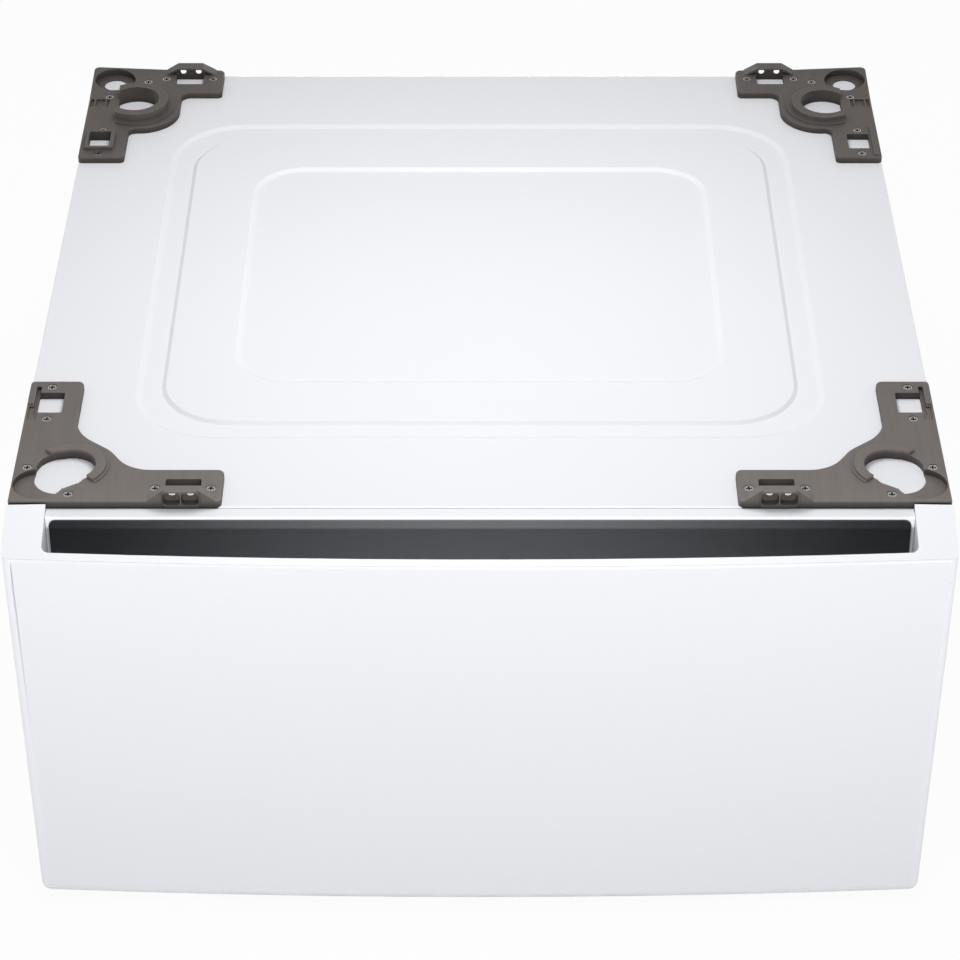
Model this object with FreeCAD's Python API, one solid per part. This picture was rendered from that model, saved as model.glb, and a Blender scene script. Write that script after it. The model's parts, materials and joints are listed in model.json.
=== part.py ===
import FreeCAD
import Part
import math
import os

from FreeCAD import Vector

# Laundry pedestal: a steel box with one drawer that lifts a washer or dryer off the floor.
# Frame: X across the front, Y from front to back, Z up, origin on the floor under the middle.

# Overall sizes
overall_width = 694.0
overall_depth = 721.0
top_height = 346.0
cabinet_bottom = 22.0
front_side_step = 1.0
front_stand_out = 59.0

# Sheet thicknesses
panel_sheet = 1.0
frame_sheet = 1.5
drawer_sheet = 1.2
fit_gap = 0.3

# Top panel
skirt_height = 12.0
top_edge_radius = 1.5
press_depth = 2.0
press_slope = 4.5
groove_side_margin = 80.2
groove_end_margin = 89.6
groove_radius = 63.0
groove_band = 22.8
island_radius = 52.0
island_slope = 3.2
field_side_margin = 153.7
field_end_margin = 164.7
field_radius = 43.0

# Side panels, posts and rails
side_flange = 25.0
rear_flange = 18.0
post_leg = 28.0
base_rail_width = 46.0
base_rail_height = 26.0
cross_rail_depth = 25.0
stiffener_width = 30.0
stiffener_height = 12.0
stiffener_side_margin = 130.0
rail_inset = 3.0
rear_field_margin = 58.0
rear_field_radius = 20.0
rear_field_share = 0.9
rear_screw_margin = 40.0

# Levelling feet
foot_inset_x = 25.0
foot_inset_y = 42.0
pad_radius = 20.0
pad_height = 8.0
pad_seat = 3.0
stud_radius = 6.0
stud_top = 54.0
stud_hex = 17.0
stud_hex_height = 5.5
nut_hex = 19.0
lock_nut_height = 6.5
weld_nut_height = 11.0
thread_gap = 0.05

# Corner brackets
bracket_plate = 6.0
bracket_edge_radius = 1.5
front_socket_radius = 19.3
rear_socket_radius = 21.0
rear_socket_flat = 27.0
collar_wall = 7.5
front_collar_height = 2.5
front_collar_step = 2.2
front_collar_step_height = 1.0
rear_left_collar_height = 9.0
rear_right_collar_height = 6.0
collar_step = 4.5
collar_step_height = 1.5
front_hood_rise = 9.0
rear_hood_rise = 6.8
hood_roof = 1.8
front_hood_overhang = 1.5
front_hood_depth = 6.8
rear_hood_wall = 7.3
rear_hood_depth = 10.0
hood_hole_radius = 2.6
front_hood_hole_height = 8.3
rear_hood_hole_height = 8.0
hood_hole_spacing = 13.6
hood_pocket = (12.7, 10.6)
hood_pocket_depth = 6.0
front_recess_radius = 19.0
rear_recess_radius = 18.0
recess_floor = 1.2
rear_recess_hole = 10.0
corner_lift = 2.8
corner_lift_length = 112.0
corner_lift_width = 68.0

# Bracket screws
screw_radius = 2.0
screw_length = 14.0
screw_head_radius = 3.5
screw_head_height = 1.6
screw_sink = 0.4
screw_gap = 0.3
cross_slot = (4.4, 1.4)
cross_depth = 1.5
screw_dish_radius = 2.6
screw_dish_depth = 0.4

# Drawer front
front_gap = 2.0
front_bottom = 9.6
front_wall = 3.0
front_bulge = 10.0
front_side_radius = 8.0
front_bottom_radius = 1.5
front_low_corner = 7.0
crease_drop = 12.0
crease_radius = 1.5
crease_line_setback = 1.9
crease_line_width = 1.2
crease_line_depth = 0.7
cheek_wall_drop = 40.0
cheek_rise = 4.0
cheek_width = 28.0
front_draft = 4.8
lip_depth = 8.0
ledge_depth = 10.0
ledge_drop = 0.6
ledge_edge_radius = 1.8
pocket_depth = 62.0
pocket_wall = 2.5
pocket_corner = 6.0
pocket_side_drop = 46.0
liner_plate = 3.0
ledge_flange = 1.4
trim_side_margin = 2.8
trim_thickness = 1.6
trim_drop = 2.2
trim_height = 40.0
trim_corner = 5.0

# Drawer box and its slides
drawer_side_room = 48.0
drawer_back_room = 101.0
drawer_floor_height = 62.0
drawer_top_room = 69.0
drawer_hem = 9.0
slide_height = 160.0
slide_setback = 8.0
slide_back_room = 60.0
slide_thickness = 12.7
slide_sheet = 1.2
outer_member_half = 22.5
middle_member_half = 17.4
inner_member_half = 12.6
middle_web_offset = 4.0
ball_gap = 0.15
cage_length = 160.0
cage_sheet = 0.8
outer_cage_start = 130.0
inner_cage_start = 145.0
balls_in_row = 8
support_height = 62.0
lever_length = 64.0
lever_height = 8.0
lever_thickness = 2.5
lever_setback = 115.0
lever_pin_radius = 2.5
lever_gap = 0.8
lever_front_share = 0.7

# Fasteners and bumpers
pan_head_radius = 4.5
pan_head_height = 1.0
pan_shank_radius = 1.8
front_screw_inset = 60.0
front_screw_rise = 40.0
slide_screw_inset = 60.0
slide_screw_shift = 40.0
bumper_radius = 7.0
bumper_rise = 10.0
bumper_squeeze = 0.2

# How far a cutting block runs past what it cuts, and how near two faces count as the same face
overshoot = 60.0
same_face = 0.001

# Places worked out from the sizes above
cabinet_width = overall_width - 2 * front_side_step
cabinet_depth = overall_depth - front_stand_out - pan_head_height
half_width = cabinet_width / 2
front_face = -overall_depth / 2
cabinet_front = front_face + front_stand_out
cabinet_back = cabinet_front + cabinet_depth
panel_top = top_height - panel_sheet
drawer_back_plane = cabinet_front - front_gap
crease_height = top_height - crease_drop
drawer_half = half_width - drawer_side_room
drawer_box_depth = cabinet_depth - drawer_back_room
slide_length = drawer_box_depth - slide_back_room
slide_back = drawer_half + slide_thickness
ledge_front = drawer_back_plane - ledge_depth
cheek_inside = half_width - cheek_width
foot_places = {
    "front_left": (-half_width + foot_inset_x, cabinet_front + foot_inset_y),
    "front_right": (half_width - foot_inset_x, cabinet_front + foot_inset_y),
    "rear_left": (-half_width + foot_inset_x, cabinet_back - foot_inset_y),
    "rear_right": (half_width - foot_inset_x, cabinet_back - foot_inset_y),
}
base_plate_top = cabinet_bottom + frame_sheet

# Screw places in each bracket, as distances from the cabinet's side and from its front or back
front_bracket_screws = [(16.7, 149.7), (17.1, 106.7), (9.6, 43.1), (43.4, 9.1), (106.6, 16.6), (148.0, 16.6)]
rear_bracket_screws = [(107.0, 16.3), (65.4, 16.5), (49.7, 22.0), (17.6, 49.8), (17.1, 109.6), (16.8, 150.0)]


def block(x, y, z):
    size = [high - low for low, high in (x, y, z)]
    return Part.makeBox(*size, Vector(x[0], y[0], z[0]))


def post(radius, x, y, z):
    return Part.makeCylinder(radius, z[1] - z[0], Vector(x, y, z[0]))


def rod(radius, start, along, length):
    return Part.makeCylinder(radius, length, Vector(*start), Vector(*along))


def hex_prism(across_flats, x, y, z):
    corner = across_flats / math.sqrt(3)
    ring = [Vector(x + corner * math.cos(k * math.pi / 3), y + corner * math.sin(k * math.pi / 3), z[0])
            for k in range(7)]
    return Part.Face(Part.makePolygon(ring)).extrude(Vector(0, 0, z[1] - z[0]))


def rounded_wire(corners, z=0.0):
    """A closed wire through corners (x, y, radius), with each corner rounded by its radius."""
    count = len(corners)
    edges = []
    last_end = None
    first_start = None
    for k in range(count):
        before, here, after = (Vector(*corners[(k + step) % count][:2], z) for step in (-1, 0, 1))
        radius = corners[k][2]
        into = (here - before).normalize()
        out = (after - here).normalize()
        turn = math.acos(max(-1.0, min(1.0, into.dot(out))))
        reach = radius * math.tan(turn / 2)
        start = here - into * reach
        end = here + out * reach
        if last_end is not None:
            edges.append(Part.LineSegment(last_end, start).toShape())
        if reach > 1e-6:
            middle = here + (out - into).normalize() * (radius / math.cos(turn / 2) - radius)
            edges.append(Part.Arc(start, middle, end).toShape())
        if first_start is None:
            first_start = start
        last_end = end
    edges.append(Part.LineSegment(last_end, first_start).toShape())
    return Part.Wire(edges)


def slab(corners, z):
    """A flat plate with a rounded outline, from z[0] to z[1]."""
    return Part.Face(rounded_wire(corners, z[0])).extrude(Vector(0, 0, z[1] - z[0]))


def rounded_box(x, y, radius):
    return [(x[0], y[0], radius), (x[1], y[0], radius), (x[1], y[1], radius), (x[0], y[1], radius)]


def profile_across(corners, x):
    """A prism along X whose outline, in Y and Z, has rounded corners."""
    prism = slab(corners, (0.0, x[1] - x[0]))
    prism.Placement = FreeCAD.Placement(Vector(x[0], 0, 0), FreeCAD.Rotation(Vector(1, 1, 1), 120))
    return prism


def profile_along(corners, y):
    """A prism along Y whose outline, in X and Z, has rounded corners."""
    prism = slab(corners, (0.0, y[1] - y[0]))
    prism.Placement = FreeCAD.Placement(Vector(0, y[1], 0), FreeCAD.Rotation(Vector(1, 0, 0), 90))
    return prism


def other_side(shape):
    return shape.mirror(Vector(0, 0, 0), Vector(1, 0, 0))


def joined(shapes):
    whole = shapes[0]
    for shape in shapes[1:]:
        whole = whole.fuse(shape)
    return whole.removeSplitter()


def bracket_screw_points():
    """Every bracket screw's place on the top panel."""
    points = []
    for side in (-1, 1):
        for u, v in front_bracket_screws:
            points.append((side * (half_width - u), cabinet_front + v))
        for u, w in rear_bracket_screws:
            points.append((side * (half_width - u), cabinet_back - w))
    return points


def bracket_screw_holes():
    """Clearance holes for the bracket screws through whatever lies under the brackets."""
    z = (top_height - screw_length, top_height + 1)
    return Part.makeCompound([post(screw_radius + screw_gap, x, y, z) for x, y in bracket_screw_points()])


# Cabinet

def pressing(x, y, radius, grow):
    """The room of a pressing, with this outline at the panel's top; it grows or shrinks to its bottom."""
    low_x = (x[0] - grow, x[1] + grow)
    low_y = (y[0] - grow, y[1] + grow)
    low = rounded_wire(rounded_box(low_x, low_y, radius + grow), top_height - press_depth)
    high = rounded_wire(rounded_box(x, y, radius), top_height)
    return Part.makeLoft([low, high], True, True)


def top_panel():
    """A tray of sheet with a pressed groove round a pressed middle field."""
    x = (-half_width, half_width)
    y = (cabinet_front, cabinet_back)
    tray = block(x, y, (top_height - skirt_height, top_height))
    tray = tray.makeFillet(top_edge_radius, [e for e in tray.Edges if e.BoundBox.ZMin > top_height - 0.1])
    hollow_x = (x[0] + panel_sheet, x[1] - panel_sheet)
    hollow_y = (y[0] + panel_sheet, y[1] - panel_sheet)
    hollow = block(hollow_x, hollow_y, (top_height - skirt_height - 1, panel_top))
    inner_radius = top_edge_radius - panel_sheet
    hollow = hollow.makeFillet(inner_radius, [e for e in hollow.Edges if e.BoundBox.ZMin > panel_top - 0.1])
    tray = tray.cut(hollow)
    groove_x = (x[0] + groove_side_margin, x[1] - groove_side_margin)
    groove_y = (y[0] + groove_end_margin, y[1] - groove_end_margin)
    island_x = (groove_x[0] + groove_band, groove_x[1] - groove_band)
    island_y = (groove_y[0] + groove_band, groove_y[1] - groove_band)
    field_x = (x[0] + field_side_margin, x[1] - field_side_margin)
    field_y = (y[0] + field_end_margin, y[1] - field_end_margin)
    groove = pressing(groove_x, groove_y, groove_radius, -press_slope)
    groove = groove.cut(pressing(island_x, island_y, island_radius, island_slope))
    field = pressing(field_x, field_y, field_radius, -press_slope)
    for room in (groove, field):
        under = room.copy()
        under.translate(Vector(0, 0, -panel_sheet))
        tray = tray.fuse(under).cut(room)
    return tray.cut(bracket_screw_holes()).removeSplitter()


def side_panel():
    """The left side panel: one bent sheet with a front and a rear flange."""
    z = (cabinet_bottom, top_height - skirt_height - fit_gap)
    wall = block((-half_width, -half_width + panel_sheet), (cabinet_front, cabinet_back), z)
    front = block((-half_width, -half_width + side_flange), (cabinet_front, cabinet_front + panel_sheet), z)
    rear = block((-half_width, -half_width + rear_flange), (cabinet_back - panel_sheet, cabinet_back), z)
    panel = joined([wall, front, rear])
    return panel.cut(rear_screw_holes())


def rear_screw_points():
    rows = [cabinet_bottom + rear_screw_margin, (cabinet_bottom + top_height) / 2,
            top_height - rear_screw_margin]
    return [(side * (half_width - rear_flange / 2), z) for side in (-1, 1) for z in rows]


def rear_screw_holes():
    """Clearance holes for the rear panel's screws."""
    return Part.makeCompound([rod(pan_shank_radius + screw_gap, (x, cabinet_back + 1, z), (0, -1, 0), 10)
                              for x, z in rear_screw_points()])


def rear_panel():
    half = half_width - panel_sheet - fit_gap
    y = (cabinet_back - 2 * panel_sheet, cabinet_back - panel_sheet)
    z = (cabinet_bottom, top_height - skirt_height - fit_gap)
    sheet = block((-half, half), y, z)
    margin = rear_field_margin
    field = rounded_box((-half + margin, half - margin), (z[0] + margin, z[1] - margin), rear_field_radius)
    press = profile_along(field, (y[1] - 0.01, y[1] + panel_sheet * rear_field_share))
    dent = profile_along(field, (y[0] - 0.01, y[0] + panel_sheet * rear_field_share))
    sheet = sheet.fuse(press).cut(dent)
    return sheet.cut(rear_screw_holes()).removeSplitter()


def rear_panel_screws():
    screws = []
    for x, z in rear_screw_points():
        head = rod(pan_head_radius, (x, cabinet_back, z), (0, 1, 0), pan_head_height)
        shank = rod(pan_shank_radius, (x, cabinet_back + 0.1, z), (0, -1, 0), 8)
        screws.append(pan_cross(head.fuse(shank), (x, cabinet_back + pan_head_height, z)))
    return Part.makeCompound(screws)


def pan_cross(screw, top):
    """Cuts a cross slot into a pan head whose top faces +Y."""
    long, narrow = cross_slot
    depth = pan_head_height * 0.7
    for wide, tall in ((long, narrow), (narrow, long)):
        x = (top[0] - wide / 2, top[0] + wide / 2)
        z = (top[2] - tall / 2, top[2] + tall / 2)
        screw = screw.cut(block(x, (top[1] - depth, top[1] + 1), z))
    return screw.removeSplitter()


def base_rail():
    """The left base rail: a channel along the side that carries two feet."""
    outside = -half_width + panel_sheet
    inside = outside + base_rail_width
    y = (cabinet_front + panel_sheet, cabinet_back - 2 * panel_sheet)
    floor = block((outside, inside), y, (cabinet_bottom, base_plate_top))
    z = (cabinet_bottom, cabinet_bottom + base_rail_height)
    outer = block((outside, outside + frame_sheet), y, z)
    inner = block((inside - frame_sheet, inside), y, z)
    holes = [post(stud_radius + 0.5, *foot_places[name], (cabinet_bottom - 1, base_plate_top + 1))
             for name in ("front_left", "rear_left")]
    return joined([floor, outer, inner]).cut(Part.makeCompound(holes))


def cross_rail(y):
    """An upward channel between the two base rails."""
    x = (-half_width + panel_sheet + base_rail_width, half_width - panel_sheet - base_rail_width)
    web = block(x, y, (base_rail_z[0], base_rail_z[0] + frame_sheet))
    front = block(x, (y[0], y[0] + frame_sheet), base_rail_z)
    back = block(x, (y[1] - frame_sheet, y[1]), base_rail_z)
    return joined([web, front, back])


front_rail_y = (cabinet_front + panel_sheet, cabinet_front + panel_sheet + cross_rail_depth)
rear_rail_y = (cabinet_back - 2 * panel_sheet - cross_rail_depth, cabinet_back - 2 * panel_sheet)
front_top_rail_y = (cabinet_front + rail_inset, cabinet_front + rail_inset + cross_rail_depth)
rear_top_rail_y = (cabinet_back - rail_inset - cross_rail_depth, cabinet_back - rail_inset)
base_rail_z = (cabinet_bottom, cabinet_bottom + base_rail_height)
top_rail_z = (panel_top - base_rail_height, panel_top)


def top_rail(y):
    """A channel under the top panel that reaches from one corner post to the other."""
    half = half_width - rail_inset
    web = block((-half, half), y, (top_rail_z[1] - frame_sheet, top_rail_z[1]))
    inner = (y[1] - frame_sheet, y[1]) if y[0] < 0 else (y[0], y[0] + frame_sheet)
    drop = block((-half + post_leg, half - post_leg), inner, top_rail_z)
    return joined([web, drop]).cut(bracket_screw_holes())


def top_stiffener():
    """The left stiffener: a hat channel under the top panel, from the front rail to the rear rail."""
    middle = -half_width + stiffener_side_margin
    x = (middle - stiffener_width / 2, middle + stiffener_width / 2)
    y = (front_top_rail_y[1] + fit_gap, rear_top_rail_y[0] - fit_gap)
    top = panel_top - press_depth
    z = (top - stiffener_height, top)
    floor = block(x, y, (z[0], z[0] + frame_sheet))
    walls = [block((edge, edge + frame_sheet), y, z) for edge in (x[0], x[1] - frame_sheet)]
    return joined([floor] + walls)


def corner_post(front):
    """An angle post in a left corner, from the base rail up to the top rail."""
    outside = -half_width + panel_sheet + frame_sheet
    z = (base_plate_top, panel_top - rail_inset + panel_sheet)
    if front:
        y0 = cabinet_front + panel_sheet
        leg_x = block((outside, outside + post_leg), (y0, y0 + frame_sheet), z)
        leg_y = block((outside, outside + frame_sheet), (y0, y0 + post_leg), z)
    else:
        y1 = cabinet_back - 2 * panel_sheet
        leg_x = block((outside, outside + post_leg), (y1 - frame_sheet, y1), z)
        leg_y = block((outside, outside + frame_sheet), (y1 - post_leg, y1), z)
    return joined([leg_x, leg_y]).cut(rear_screw_holes())


def slide_support():
    """The left slide support: a channel from the front post to the rear post."""
    x = (-half_width + panel_sheet + 2 * frame_sheet, -slide_back)
    y = (cabinet_front + panel_sheet + frame_sheet, cabinet_back - 2 * panel_sheet - frame_sheet)
    z = (slide_height - support_height / 2, slide_height + support_height / 2)
    web = block((x[1] - frame_sheet, x[1]), y, z)
    flanges = [block(x, y, (edge, edge + frame_sheet)) for edge in (z[0], z[1] - frame_sheet)]
    holes = [rod(pan_shank_radius + screw_gap, (x[1] - 3, py, slide_height), (1, 0, 0), 5)
             for py in slide_screw_places()]
    return joined([web] + flanges).cut(Part.makeCompound(holes))


# Levelling feet

def foot_pad(x, y):
    disc = post(pad_radius, x, y, (0.0, pad_height))
    disc = disc.makeChamfer(1.5, [e for e in disc.Edges if e.BoundBox.ZMin > pad_height - 0.1])
    return disc.cut(post(stud_radius + thread_gap, x, y, (pad_seat, pad_height + 1)))


def foot_stud(x, y):
    shank = post(stud_radius, x, y, (pad_seat, stud_top))
    shank = shank.makeChamfer(1.0, [e for e in shank.Edges if e.BoundBox.ZMin > stud_top - 0.1])
    collar_z = (pad_height + 0.1, pad_height + 0.1 + stud_hex_height)
    return shank.fuse(hex_prism(stud_hex, x, y, collar_z)).removeSplitter()


def foot_nuts(z, across_flats):
    nuts = []
    for x, y in foot_places.values():
        nut = hex_prism(across_flats, x, y, z)
        nuts.append(nut.cut(post(stud_radius + thread_gap, x, y, (z[0] - 1, z[1] + 1))))
    return Part.makeCompound(nuts)


# Corner brackets, drawn for a left corner: u from the cabinet's side, v from its front or back edge

front_outline = [(0, 0, 2), (156.5, 0, 4), (156.5, 40.3, 5), (85.8, 40.3, 30), (69.5, 65.5, 30),
                 (40.8, 89, 36), (40.8, 158, 5), (0, 158, 3)]
rear_outline = [(0, 0, 5), (116.5, 0, 5), (116.5, 42.5, 4), (81.2, 42.5, 8), (81.2, 106, 34),
                (39.5, 106, 6), (39.5, 157.5, 4), (0, 157.5, 4)]
front_socket = (41.5, 43.2)
front_side_sockets = [(34.8, 34.6, 19.2), (36.0, 41.6, 19.8)]
front_sill = [(37.5, 10.6, 0), (90, 10.6, 0), (90, 48.8, 0), (40.2, 16.6, 0)]
front_recess = (20.2, 21.8)
front_hood_u = (102.2, 113.8, 140.4, 151.8)
front_hood_bay = ((114.0, 140.6), (7.6, 27.6))
front_lip_u = (2.0, 154.0)
front_lip_drop = 1.5
front_window = ((8.0, 27.7), (114.7, 141.7))
front_clip = ((0.6, 5.6), (125.0, 152.0))
front_clip_rise = 1.4
front_slot = ((5.6, 9.0), (113.0, 150.0))
front_slot_depth = 3.0
front_dip = ((1.8, 9.0), (105.0, 123.0))
front_dip_depth = 1.5
rear_socket = (42.7, 69.5)
rear_recess = (20.0, 20.0)
rear_hood_u = (64.5, 75.3, 97.3, 109.0)
rear_hood_bay = ((74.2, 98.6), (7.3, 26.8))
rear_hood_side = (3.5, 1.2)
framed_rim = ((4.5, 29.0), (115.5, 145.6))
framed_rim_rise = 3.2
framed_rim_window = ((7.0, 25.8), (118.0, 143.0))
plain_rib = ((2.0, 6.5), (103.0, 155.0))
plain_rib_rise = 1.8
plain_window = ((8.2, 27.3), (116.8, 141.8))
rear_dip = ((1.6, 18.5), (54.5, 68.0))
rear_dip_depth = 1.8
rear_dip_ribs = (5.0, 14.6)
rear_dip_rib = 1.2
small_corner = 1.5
tiny_corner = 1.0
hood_corner = 2.5
pocket_round = 3.0
pocket_top_gap = 1.2
nose_low = 0.6


def bracket_plate_solid(outline):
    plate = slab(outline, (0.0, bracket_plate))
    rim = [e for e in plate.Edges if e.BoundBox.ZMin > bracket_plate - 0.1]
    return plate.makeFillet(bracket_edge_radius, rim)


def hood(u, v, rise, low=bracket_plate - 2):
    """A raised wall along the bracket's outer edge; u holds its foot and top corners, v its depth."""
    top = bracket_plate + rise
    shape = [(u[0], low, 0), (u[3], low, 0), (u[3], bracket_plate + 0.1, 0), (u[2], top, hood_corner),
             (u[1], top, hood_corner), (u[0], bracket_plate + 0.1, 0)]
    return profile_along(shape, v)


def hood_openings(middle, face, height, depth, rise):
    """The two screw pockets in the hood's outer face, and the holes at their backs."""
    wide, tall = hood_pocket
    top = bracket_plate + rise - pocket_top_gap
    cuts = []
    for step in (-hood_hole_spacing / 2, hood_hole_spacing / 2):
        u = middle + step
        outline = rounded_box((u - wide / 2, u + wide / 2), (top - tall, top), pocket_round)
        cuts.append(profile_along(outline, (face - 1.0, face + hood_pocket_depth)))
        cuts.append(rod(hood_hole_radius, (u, face - 1, height), (0, 1, 0), depth - face + 2))
    return Part.makeCompound(cuts)


def front_collar():
    """Half a round collar on the plate, on the side of the socket away from the corner recess."""
    u, v = front_socket
    away = math.degrees(math.atan2(v - front_recess[1], u - front_recess[0]))
    radius = front_socket_radius + collar_wall
    rings = [(radius, front_collar_height), (radius + front_collar_step, front_collar_step_height)]
    halves = [Part.makeCylinder(reach, bracket_plate + rise - 1, Vector(u, v, 1), Vector(0, 0, 1), 180)
              for reach, rise in rings]
    collar = halves[0].fuse(halves[1])
    collar.rotate(Vector(u, v, 0), Vector(0, 0, 1), away - 90)
    return collar


def front_lip():
    """The strip under the plate's front edge that follows the top panel's rounded edge down."""
    strip = block(front_lip_u, (0.0, top_edge_radius), (-front_lip_drop, tiny_corner))
    middle = (front_lip_u[0] - 1, top_edge_radius, -top_edge_radius)
    length = front_lip_u[1] - front_lip_u[0] + 2
    return strip.cut(rod(top_edge_radius + thread_gap, middle, (1, 0, 0), length))


def raised_corner():
    """A low wedge that lifts a rear bracket's outer corner."""
    low = bracket_plate - 2
    corner = Vector(0, 0, low)
    along_back = Vector(corner_lift_length, 0, low)
    along_side = Vector(0, corner_lift_width, low)
    peak = Vector(0, 0, bracket_plate + corner_lift)
    sides = [(corner, along_side, along_back), (corner, along_back, peak), (along_back, along_side, peak),
             (along_side, corner, peak)]
    wedge = Part.makeSolid(Part.makeShell([Part.Face(Part.makePolygon([a, b, c, a])) for a, b, c in sides]))
    return wedge.common(slab(rear_outline, (0.0, bracket_plate + 2 * corner_lift)))


def screw_seats(points):
    cuts = []
    for u, v in points:
        cuts.append(post(screw_radius + screw_gap, u, v, (-1, bracket_plate)))
        seat = bracket_plate - screw_sink - screw_head_height
        cuts.append(post(screw_head_radius + screw_gap, u, v, (seat, bracket_plate + corner_lift)))
    return Part.makeCompound(cuts)


def through(spans):
    return slab(rounded_box(*spans, small_corner), (-1.0, bracket_plate + 2 * front_hood_rise))


def raised(spans, rise, radius):
    return slab(rounded_box(*spans, radius), (bracket_plate - 1, bracket_plate + rise))


def sunk(spans, depth, radius):
    return slab(rounded_box(*spans, radius), (bracket_plate - depth, bracket_plate + 2 * corner_lift))


def front_bracket():
    body = bracket_plate_solid(front_outline).fuse(front_collar()).fuse(front_lip())
    body = body.fuse(hood(front_hood_u, (0.0, front_hood_depth), front_hood_rise))
    nose_top = bracket_plate + front_hood_rise
    nose = rounded_box((front_hood_u[1], front_hood_u[2]), (nose_low, nose_top), hood_corner)
    body = body.fuse(profile_along(nose, (-front_hood_overhang, front_hood_depth)))
    body = body.fuse(raised(front_clip, front_clip_rise, tiny_corner))
    socket = post(front_socket_radius, *front_socket, (-1, overshoot))
    for u, v, radius in front_side_sockets:
        socket = socket.fuse(post(radius, u, v, (-1, overshoot)))
    body = body.cut(socket.cut(slab(front_sill, (-2, 2 * overshoot))))
    body = body.cut(post(front_recess_radius, *front_recess, (recess_floor, bracket_plate + 1)))
    body = body.cut(through(front_window))
    body = body.cut(sunk(front_slot, front_slot_depth, tiny_corner))
    body = body.cut(sunk(front_dip, front_dip_depth, tiny_corner))
    body = body.cut(through(front_hood_bay))
    middle = (front_hood_u[0] + front_hood_u[3]) / 2
    face = -front_hood_overhang
    body = body.cut(hood_openings(middle, face, front_hood_hole_height, front_hood_depth, front_hood_rise))
    return body.cut(screw_seats(front_bracket_screws)).removeSplitter()


def rear_bracket(collar_height, framed_window):
    """framed_window raises a rim round the side arm's window; otherwise a rib runs beside it."""
    body = bracket_plate_solid(rear_outline).fuse(raised_corner())
    radius = rear_socket_radius + collar_wall
    step = post(radius + collar_step, *rear_socket, (1, bracket_plate + collar_step_height))
    ring = post(radius, *rear_socket, (1, bracket_plate + collar_height))
    room = overall_depth
    inner_side = block((rear_socket_flat, room), (-room, room), (-room, room))
    body = body.fuse(step.fuse(ring).common(inner_side))
    roof = hood(rear_hood_u, (0.0, rear_hood_depth), rear_hood_rise)
    foot_in, top_in = rear_hood_side
    insets = (foot_in, top_in, -top_in, -foot_in)
    under_u = [u + inset for u, inset in zip(rear_hood_u, insets)]
    under = hood(under_u, (rear_hood_wall, rear_hood_depth + 1), rear_hood_rise - hood_roof, bracket_plate)
    body = body.fuse(roof.cut(under))
    if framed_window:
        body = body.fuse(raised(framed_rim, framed_rim_rise, small_corner)).cut(through(framed_rim_window))
    else:
        body = body.fuse(raised(plain_rib, plain_rib_rise, small_corner)).cut(through(plain_window))
    body = body.cut(post(rear_socket_radius, *rear_socket, (-1, overshoot)).common(inner_side))
    body = body.cut(post(rear_recess_radius, *rear_recess, (recess_floor, bracket_plate + 2 * corner_lift)))
    body = body.cut(post(rear_recess_hole, *rear_recess, (-1, bracket_plate)))
    ribs = [block((u, u + rear_dip_rib), (-room, room), (-room, room)) for u in rear_dip_ribs]
    body = body.cut(sunk(rear_dip, rear_dip_depth, tiny_corner).cut(Part.makeCompound(ribs)))
    bay_u, bay_v = rear_hood_bay
    body = body.cut(slab(rounded_box(bay_u, bay_v, small_corner), (-1.0, bracket_plate + 1)))
    middle = (rear_hood_u[0] + rear_hood_u[3]) / 2
    body = body.cut(hood_openings(middle, 0.0, rear_hood_hole_height, rear_hood_depth, rear_hood_rise))
    return body.cut(screw_seats(rear_bracket_screws)).removeSplitter()


def at_front_left(shape):
    shape.translate(Vector(-half_width, cabinet_front, top_height))
    return shape


def at_rear_left(shape):
    shape = shape.mirror(Vector(0, 0, 0), Vector(0, 1, 0))
    shape.translate(Vector(-half_width, cabinet_back, top_height))
    return shape


def bracket_screws():
    """All the cross-slotted screws that hold the four brackets down."""
    top = top_height + bracket_plate - screw_sink
    long, narrow = cross_slot
    screws = []
    for x, y in bracket_screw_points():
        head = post(screw_head_radius, x, y, (top - screw_head_height, top))
        screw = head.fuse(post(screw_radius, x, y, (top - screw_length, top - screw_head_height)))
        screw = screw.cut(post(screw_dish_radius, x, y, (top - screw_dish_depth, top + 1)))
        for wide, deep in ((long, narrow), (narrow, long)):
            slot_x = (x - wide / 2, x + wide / 2)
            slot_y = (y - deep / 2, y + deep / 2)
            screw = screw.cut(block(slot_x, slot_y, (top - cross_depth, top + 1)))
        screws.append(screw.removeSplitter())
    return Part.makeCompound(screws)


# Drawer front

bulge_radius = (half_width ** 2 + front_bulge ** 2) / (2 * front_bulge)
bulge_centre = front_face + bulge_radius
corner_depth = drawer_back_plane - front_face - front_bulge
slope_rise = (cheek_rise + crease_drop) / corner_depth


def front_half(z):
    """Half the drawer front's width at height z; it narrows a little towards the floor."""
    cheek_top = top_height + cheek_rise
    return overall_width / 2 - front_draft * (cheek_top - z) / (cheek_top - front_bottom)


def bulged(corners):
    """A solid whose outline in Y and Z, drawn at the middle of the front, follows the front's bulge."""
    half_turn = math.degrees(math.asin(half_width / bulge_radius)) + 0.5
    face = Part.Face(rounded_wire(corners))
    face.Placement = FreeCAD.Placement(Vector(0, 0, 0), FreeCAD.Rotation(Vector(1, 1, 1), 120))
    axis = Vector(0, bulge_centre, 0)
    face.rotate(axis, Vector(0, 0, 1), -half_turn)
    return face.revolve(axis, Vector(0, 0, 1), 2 * half_turn)


def front_section(inset):
    """The drawer front's section, taken in by inset; it runs on behind the drawer front's back plane."""
    low = front_bottom + inset
    face = front_face + inset
    back = drawer_back_plane + overshoot
    crease = crease_height - inset * (math.sqrt(1 + slope_rise ** 2) - slope_rise)
    top = crease + (back - face) * slope_rise
    bottom_radius = max(0.0, front_bottom_radius - inset)
    return [(face, low, bottom_radius), (back, low, 0), (back, top, 0), (face, crease, crease_radius)]


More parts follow.
